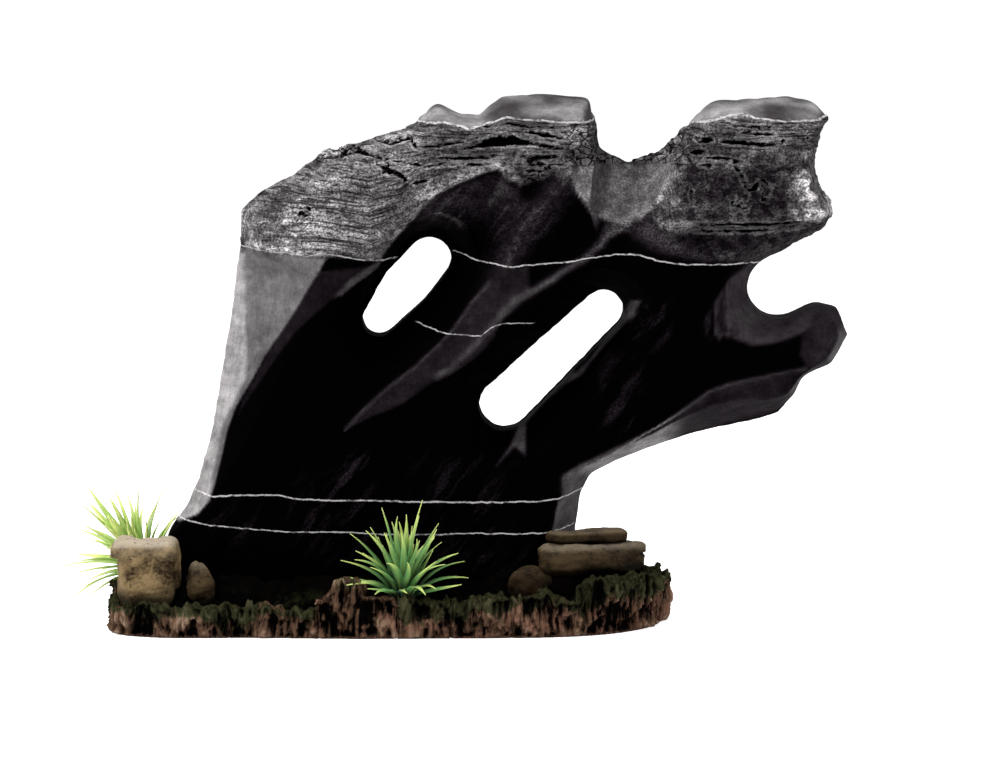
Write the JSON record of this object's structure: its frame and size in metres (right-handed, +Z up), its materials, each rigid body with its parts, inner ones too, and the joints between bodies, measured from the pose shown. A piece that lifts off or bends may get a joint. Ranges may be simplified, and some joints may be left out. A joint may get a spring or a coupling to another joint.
{
  "type": "resin cave ornament",
  "caption": "Aquarium cave ornament: a leaning slate rock arch with swim-through slots on a mossy bark-edged base with stones and grass tufts.",
  "frame": {"origin": "centre of the plinth's resting face", "axes": "+X along the ornament towards the overhanging arm, +Y from its front to its back, +Z up"},
  "size_m": [0.316, 0.1276, 0.21],
  "materials": {
    "slate": "cast resin painted near-black and dry-brushed grey, with thin white veins",
    "plinth": "cast resin, painted dark brown",
    "moss": "cast resin, stippled dark green",
    "bark": "cast resin, washed brown",
    "pebble": "cast resin, washed beige and grey",
    "grass": "moulded soft plastic, green at the root and yellow-green at the tip",
    "stem": "moulded plastic, dark green"
  },
  "bodies": {
    "ornament": {"cave_rock": "slate", "base_plinth": "plinth", "moss_bed": "moss", "bark_stump": "bark", "bark_plate_01": "bark", "bark_plate_02": "bark", "bark_plate_03": "bark", "bark_plate_04": "bark", "bark_plate_05": "bark", "bark_plate_06": "bark", "bark_plate_07": "bark", "bark_plate_08": "bark", "bark_plate_09": "bark", "bark_plate_10": "bark", "bark_plate_11": "bark", "bark_plate_12": "bark", "block_stone": "pebble", "left_pebble": "pebble", "right_pebble": "pebble", "lower_flat_stone": "pebble", "upper_flat_stone": "pebble"},
    "front_tuft": {"front_tuft_plug": "stem", "front_tuft_whorl_1": "grass", "front_tuft_whorl_2": "grass", "front_tuft_whorl_3": "grass", "front_tuft_whorl_4": "grass"},
    "rear_tuft": {"rear_tuft_plug": "stem", "rear_tuft_whorl_1": "grass", "rear_tuft_whorl_2": "grass", "rear_tuft_whorl_3": "grass", "rear_tuft_whorl_4": "grass"}
  },
  "joints": [
    {"name": "front_tuft_pull", "type": "slide", "parent": "ornament", "child": "front_tuft", "axis": [0, -0.1908, 0.9816], "range_m": [0, 0.025]},
    {"name": "rear_tuft_pull", "type": "slide", "parent": "ornament", "child": "rear_tuft", "axis": [-0.5299, 0, 0.848], "range_m": [0, 0.025]}
  ]
}
